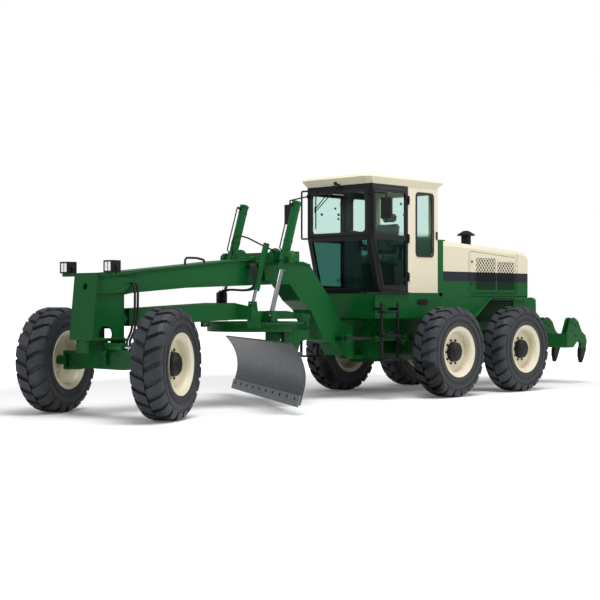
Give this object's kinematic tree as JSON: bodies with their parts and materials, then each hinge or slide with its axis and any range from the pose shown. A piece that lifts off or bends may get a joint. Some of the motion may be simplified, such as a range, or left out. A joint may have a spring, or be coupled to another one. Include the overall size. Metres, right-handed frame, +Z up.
{
  "type": "motor grader",
  "caption": "Articulated motor grader with a cab and engine hood over tandem wheels, an arched front frame, a circle-hung blade, steered front wheels and a rear ripper.",
  "frame": {"origin": "on the ground under the centre of the bounding box", "axes": "+X forward, +Y to the left, +Z up"},
  "size_m": [10.542, 3.2726, 3.265],
  "materials": {
    "green_paint": "satin",
    "cream_paint": "satin",
    "black_paint": "satin",
    "blade_steel": "satin",
    "edge_steel": "worn",
    "chrome_rod": "polished",
    "tyre_rubber": "matte",
    "window_glass": "tinted",
    "seat_fabric": "woven",
    "engine_iron": "rough",
    "hose_rubber": "matte",
    "lamp_plastic": "gloss"
  },
  "bodies": {
    "rear_frame": {"rear_frame": "green_paint", "engine": "engine_iron", "rear_axle": "green_paint", "tandem_cases": "green_paint", "cab_shell": "cream_paint", "cab_roof": "cream_paint", "cab_glass": "window_glass", "cab_interior": "black_paint", "seat_cushions": "seat_fabric", "mirrors": "black_paint", "ladders": "black_paint", "hood": "cream_paint", "radiator_grille": "black_paint", "hood_stacks": "black_paint"},
    "front_frame": {"front_frame": "green_paint", "front_axle": "green_paint", "work_lamps": "lamp_plastic", "frame_hoses": "hose_rubber"},
    "articulation_barrel_left": {"articulation_barrel_left": "green_paint"},
    "articulation_barrel_right": {"articulation_barrel_right": "green_paint"},
    "articulation_rod_left": {"articulation_rod_left": "chrome_rod"},
    "articulation_rod_right": {"articulation_rod_right": "chrome_rod"},
    "knuckle_left": {"knuckle_left": "green_paint"},
    "knuckle_right": {"knuckle_right": "green_paint"},
    "tie_rod": {"tie_rod": "green_paint"},
    "steering_barrel": {"steering_barrel": "green_paint"},
    "steering_rod": {"steering_rod": "chrome_rod"},
    "drawbar": {"drawbar": "green_paint", "circle_drive": "black_paint"},
    "lift_barrels": {"lift_barrels": "green_paint", "shift_barrel": "black_paint"},
    "lift_rods": {"lift_rods": "chrome_rod", "shift_rod": "chrome_rod"},
    "circle": {"circle": "green_paint"},
    "blade_carrier": {"blade_carrier": "green_paint"},
    "moldboard": {"moldboard": "blade_steel", "cutting_edge": "edge_steel"},
    "tip_barrel": {"tip_barrel": "green_paint"},
    "tip_rod": {"tip_rod": "chrome_rod"},
    "cab_door_left": {"cab_door_left": "black_paint", "door_glass_left": "window_glass"},
    "cab_door_right": {"cab_door_right": "black_paint", "door_glass_right": "window_glass"},
    "engine_door_left": {"engine_door_left": "cream_paint"},
    "engine_door_right": {"engine_door_right": "cream_paint"},
    "ripper": {"ripper": "green_paint"},
    "ripper_barrel": {"ripper_barrel": "green_paint"},
    "ripper_rod": {"ripper_rod": "chrome_rod"},
    "wheel_front_left": {"tyre_front_left": "tyre_rubber", "rim_front_left": "cream_paint"},
    "wheel_front_right": {"tyre_front_right": "tyre_rubber", "rim_front_right": "cream_paint"},
    "wheel_middle_left": {"tyre_middle_left": "tyre_rubber", "rim_middle_left": "cream_paint"},
    "wheel_middle_right": {"tyre_middle_right": "tyre_rubber", "rim_middle_right": "cream_paint"},
    "wheel_rear_left": {"tyre_rear_left": "tyre_rubber", "rim_rear_left": "cream_paint"},
    "wheel_rear_right": {"tyre_rear_right": "tyre_rubber", "rim_rear_right": "cream_paint"}
  },
  "joints": [
    {"name": "articulation", "type": "hinge", "parent": "rear_frame", "child": "front_frame", "pos_m": [0.065, 0, 0], "axis": [0, 0, 1], "range_deg": [-25, 25]},
    {"name": "articulation_barrel_left_yaw", "type": "hinge", "parent": "rear_frame", "child": "articulation_barrel_left", "pos_m": [-0.785, 0.42, 0.88], "axis": [0, 0, 1], "range_deg": [-7.08, 7.08]},
    {"name": "articulation_rod_left_slide", "type": "slide", "parent": "articulation_barrel_left", "child": "articulation_rod_left", "axis": [0.9979, -0.0649, 0], "range_m": [-0.15664, 0.15664]},
    {"name": "articulation_barrel_right_yaw", "type": "hinge", "parent": "rear_frame", "child": "articulation_barrel_right", "pos_m": [-0.785, -0.42, 0.88], "axis": [0, 0, 1], "range_deg": [-7.08, 7.08]},
    {"name": "articulation_rod_right_slide", "type": "slide", "parent": "articulation_barrel_right", "child": "articulation_rod_right", "axis": [0.9979, 0.0649, 0], "range_m": [-0.15664, 0.15664]},
    {"name": "steer_left", "type": "hinge", "parent": "front_frame", "child": "knuckle_left", "pos_m": [4.465, 0.7, 0.672], "axis": [0, 0, 1], "range_deg": [-66, 18]},
    {"name": "steer_right", "type": "hinge", "parent": "front_frame", "child": "knuckle_right", "pos_m": [4.465, -0.7, 0.672], "axis": [0, 0, 1], "range_deg": [-66, 18]},
    {"name": "tie_rod_swing", "type": "hinge", "parent": "knuckle_left", "child": "tie_rod", "pos_m": [4.26811, 0.60184, 0.6], "axis": [0, 0, 1], "range_deg": [-18, 66]},
    {"name": "steering_barrel_yaw", "type": "hinge", "parent": "front_frame", "child": "steering_barrel", "pos_m": [4.63, 0.19, 0.87], "axis": [0, 0, 1], "range_deg": [-0.36, 1.32]},
    {"name": "steering_rod_slide", "type": "slide", "parent": "steering_barrel", "child": "steering_rod", "axis": [0.0233, 0.9997, 0], "range_m": [-0.2108, 0.05749]},
    {"name": "wheel_front_left_spin", "type": "hinge", "parent": "knuckle_left", "child": "wheel_front_left", "pos_m": [4.33962, 0.95148, 0.672], "axis": [-0.4462, 0.8949, 0], "continuous": true},
    {"name": "wheel_front_right_spin", "type": "hinge", "parent": "knuckle_right", "child": "wheel_front_right", "pos_m": [4.57026, -0.96054, 0.672], "axis": [-0.3746, 0.9272, 0], "continuous": true},
    {"name": "wheel_middle_left_spin", "type": "hinge", "parent": "rear_frame", "child": "wheel_middle_left", "pos_m": [-1.007, 1.081, 0.672], "axis": [0, 1, 0], "continuous": true},
    {"name": "wheel_middle_right_spin", "type": "hinge", "parent": "rear_frame", "child": "wheel_middle_right", "pos_m": [-1.007, -1.081, 0.672], "axis": [0, 1, 0], "continuous": true},
    {"name": "wheel_rear_left_spin", "type": "hinge", "parent": "rear_frame", "child": "wheel_rear_left", "pos_m": [-2.748, 1.081, 0.672], "axis": [0, 1, 0], "continuous": true},
    {"name": "wheel_rear_right_spin", "type": "hinge", "parent": "rear_frame", "child": "wheel_rear_right", "pos_m": [-2.748, -1.081, 0.672], "axis": [0, 1, 0], "continuous": true},
    {"name": "drawbar_lift", "type": "hinge", "parent": "front_frame", "child": "drawbar", "pos_m": [4.315, 0, 1.2], "axis": [0, 1, 0], "range_deg": [-12, 4]},
    {"name": "lift_barrels_tilt", "type": "hinge", "parent": "front_frame", "child": "lift_barrels", "pos_m": [1.915, 0, 2.02], "axis": [0, 1, 0], "range_deg": [-1.8, 5.4]},
    {"name": "lift_rods_slide", "type": "slide", "parent": "lift_barrels", "child": "lift_rods", "axis": [0.3043, 0, -0.9526], "range_m": [-0.14661, 0.43982]},
    {"name": "circle_turn", "type": "hinge", "parent": "drawbar", "child": "circle", "pos_m": [1.965, 0, 1.1], "axis": [0, 0, -1], "range_deg": [-75, 15]},
    {"name": "blade_tip", "type": "hinge", "parent": "circle", "child": "blade_carrier", "pos_m": [1.70952, 0.1475, 0.33], "axis": [0.5, 0.866, 0], "range_deg": [-5, 40]},
    {"name": "blade_side_shift", "type": "slide", "parent": "blade_carrier", "child": "moldboard", "axis": [0.5, 0.866, 0], "range_m": [-0.6, 0.6]},
    {"name": "tip_barrel_tilt", "type": "hinge", "parent": "circle", "child": "tip_barrel", "pos_m": [1.53199, 0.25, 1.08], "axis": [0.5, 0.866, 0], "range_deg": [-18, 2.25]},
    {"name": "tip_rod_slide", "type": "slide", "parent": "tip_barrel", "child": "tip_rod", "axis": [0.3629, -0.2095, -0.908], "range_m": [-0.02356, 0.1885]},
    {"name": "cab_door_left_swing", "type": "hinge", "parent": "rear_frame", "child": "cab_door_left", "pos_m": [-0.566, 0.668, 2.3], "axis": [0, 0, 1], "range_deg": [0, 95]},
    {"name": "cab_door_right_swing", "type": "hinge", "parent": "rear_frame", "child": "cab_door_right", "pos_m": [-0.566, -0.668, 2.3], "axis": [0, 0, -1], "range_deg": [0, 95]},
    {"name": "engine_door_left_swing", "type": "hinge", "parent": "rear_frame", "child": "engine_door_left", "pos_m": [-3.381, 0.65, 1.8], "axis": [0, 0, 1], "range_deg": [0, 100]},
    {"name": "engine_door_right_swing", "type": "hinge", "parent": "rear_frame", "child": "engine_door_right", "pos_m": [-3.381, -0.65, 1.8], "axis": [0, 0, -1], "range_deg": [0, 100]},
    {"name": "ripper_lift", "type": "hinge", "parent": "rear_frame", "child": "ripper", "pos_m": [-4.235, 0, 0.72], "axis": [0, 1, 0], "range_deg": [-35, 8]},
    {"name": "ripper_barrel_tilt", "type": "hinge", "parent": "rear_frame", "child": "ripper_barrel", "pos_m": [-4.215, 0, 1.23], "axis": [0, 1, 0], "range_deg": [-16.8, 3.84]},
    {"name": "ripper_rod_slide", "type": "slide", "parent": "ripper_barrel", "child": "ripper_rod", "axis": [-0.8429, 0, -0.538], "range_m": [-0.05306, 0.23213]}
  ],
  "couplings": [
    {"joint": "articulation_barrel_left_yaw", "follows": "articulation", "ratio": 0.283},
    {"joint": "articulation_rod_left_slide", "follows": "articulation", "m_per_rad": -0.359},
    {"joint": "articulation_barrel_right_yaw", "follows": "articulation", "ratio": 0.283},
    {"joint": "articulation_rod_right_slide", "follows": "articulation", "m_per_rad": 0.359},
    {"joint": "steer_right", "follows": "steer_left", "ratio": 1},
    {"joint": "tie_rod_swing", "follows": "steer_left", "ratio": -1},
    {"joint": "steering_barrel_yaw", "follows": "steer_left", "ratio": -0.02},
    {"joint": "steering_rod_slide", "follows": "steer_left", "m_per_rad": 0.183},
    {"joint": "lift_barrels_tilt", "follows": "drawbar_lift", "ratio": -0.45},
    {"joint": "lift_rods_slide", "follows": "drawbar_lift", "m_per_rad": -2.1},
    {"joint": "tip_barrel_tilt", "follows": "blade_tip", "ratio": -0.45},
    {"joint": "tip_rod_slide", "follows": "blade_tip", "m_per_rad": 0.27},
    {"joint": "ripper_barrel_tilt", "follows": "ripper_lift", "ratio": 0.48},
    {"joint": "ripper_rod_slide", "follows": "ripper_lift", "m_per_rad": -0.38}
  ]
}
